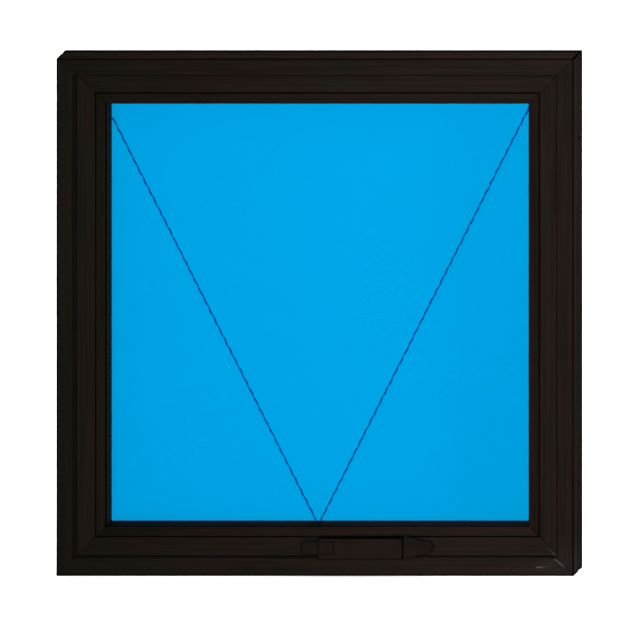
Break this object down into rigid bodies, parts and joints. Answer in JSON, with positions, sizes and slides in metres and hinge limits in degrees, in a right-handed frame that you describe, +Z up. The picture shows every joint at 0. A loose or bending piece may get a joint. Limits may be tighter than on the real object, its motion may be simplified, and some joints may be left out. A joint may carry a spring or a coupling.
{
  "type": "upvc ventilator window",
  "caption": "Square top-hung ventilator window in dark wood-foiled plastic profiles, closed, with one tinted glass pane, glazing beads and a lever handle on the bottom sash rail.",
  "frame": {"origin": "underside of the sill, at mid width and at the middle of the frame's 60 mm depth", "axes": "+X along the sill to the right as seen from the room, +Y from the room side to the outside, +Z up"},
  "size_m": [0.9, 0.0955, 0.9],
  "materials": {
    "foiled_profile": "dark brown wood-grain foil on plastic profile",
    "black_rubber": "black weather seal",
    "tinted_glass": "flat azure tinted pane",
    "handle_metal": "dark brown powder coat"
  },
  "bodies": {
    "root": {"frame_sill": "foiled_profile", "frame_jamb_left": "foiled_profile", "frame_head": "foiled_profile", "frame_jamb_right": "foiled_profile", "sash_bottom_rail": "foiled_profile", "sash_stile_left": "foiled_profile", "sash_top_rail": "foiled_profile", "sash_stile_right": "foiled_profile", "glazing_bead_bottom": "foiled_profile", "glazing_bead_left": "foiled_profile", "glazing_bead_top": "foiled_profile", "glazing_bead_right": "foiled_profile", "bead_gasket_bottom": "black_rubber", "bead_gasket_left": "black_rubber", "bead_gasket_top": "black_rubber", "bead_gasket_right": "black_rubber", "outer_gasket_bottom": "black_rubber", "outer_gasket_left": "black_rubber", "outer_gasket_top": "black_rubber", "outer_gasket_right": "black_rubber", "frame_seal_bottom": "black_rubber", "frame_seal_left": "black_rubber", "frame_seal_top": "black_rubber", "frame_seal_right": "black_rubber", "sash_seal_bottom": "black_rubber", "sash_seal_left": "black_rubber", "sash_seal_top": "black_rubber", "sash_seal_right": "black_rubber", "handle_rosette": "handle_metal", "handle_lever": "handle_metal", "handle_spindle_cap": "handle_metal", "handle_nose": "handle_metal", "glass_pane": "tinted_glass"}
  },
  "joints": []
}
